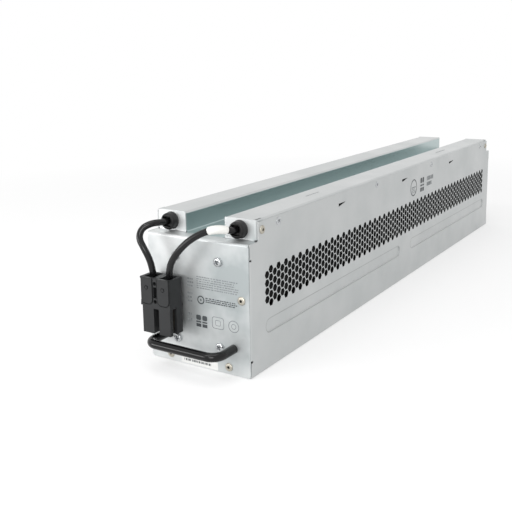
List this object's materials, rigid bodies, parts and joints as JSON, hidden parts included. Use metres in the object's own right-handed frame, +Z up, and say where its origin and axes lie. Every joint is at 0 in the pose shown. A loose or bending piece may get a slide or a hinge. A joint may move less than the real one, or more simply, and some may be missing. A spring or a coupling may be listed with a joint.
{
  "type": "ups battery cartridge",
  "caption": "Long sheet-steel battery cartridge with a vented side wall, two top rails, a front rod handle and two cables that end in a two-pole power connector",
  "frame": {"origin": "middle of the case's underside, on the surface it stands on", "axes": "X across the case, Y along it with the handle and connector at -Y, Z up; metres"},
  "size_m": [0.0972, 0.6276, 0.119],
  "materials": {
    "zinc_steel": "satin zinc-coated sheet",
    "cover_steel": "satin zinc-coated sheet",
    "screw_steel": "bright zinc plating",
    "rivet_metal": "satin",
    "black_rod": "glossy black coating",
    "relief_plastic": "moulded nylon",
    "housing_plastic": "moulded polycarbonate",
    "contact_metal": "silver plating",
    "spring_steel": "plain",
    "cable_jacket": "semi-gloss jacket",
    "sleeve_white": "white heat-shrink sleeve",
    "link_insulation": "insulated jumper",
    "battery_case": "moulded case",
    "foam": "closed-cell foam"
  },
  "bodies": {
    "root": {"chassis": "zinc_steel", "front_panel": "zinc_steel", "rear_panel": "zinc_steel", "front_stop": "zinc_steel", "cover": "cover_steel", "panel_screws": "screw_steel", "cover_screws": "screw_steel", "handle_nuts": "screw_steel", "front_rivets": "rivet_metal", "rear_rivets": "rivet_metal", "rail_rivets": "rivet_metal", "handle": "black_rod", "left_strain_relief": "relief_plastic", "right_strain_relief": "relief_plastic", "connector_housing": "housing_plastic", "connector_contacts": "contact_metal", "battery_terminals": "contact_metal", "connector_springs": "spring_steel", "left_cable": "cable_jacket", "right_cable": "cable_jacket", "left_lead": "cable_jacket", "return_lead": "cable_jacket", "marker_sleeve": "sleeve_white", "right_link_1": "link_insulation", "right_link_2": "link_insulation", "right_link_3": "link_insulation", "right_link_4": "link_insulation", "left_link_1": "link_insulation", "left_link_2": "link_insulation", "left_link_3": "link_insulation", "battery_1": "battery_case", "battery_2": "battery_case", "battery_3": "battery_case", "battery_4": "battery_case", "battery_5": "battery_case", "battery_6": "battery_case", "battery_7": "battery_case", "battery_8": "battery_case", "front_foam": "foam", "rear_foam": "foam", "top_foam": "foam"}
  },
  "joints": []
}
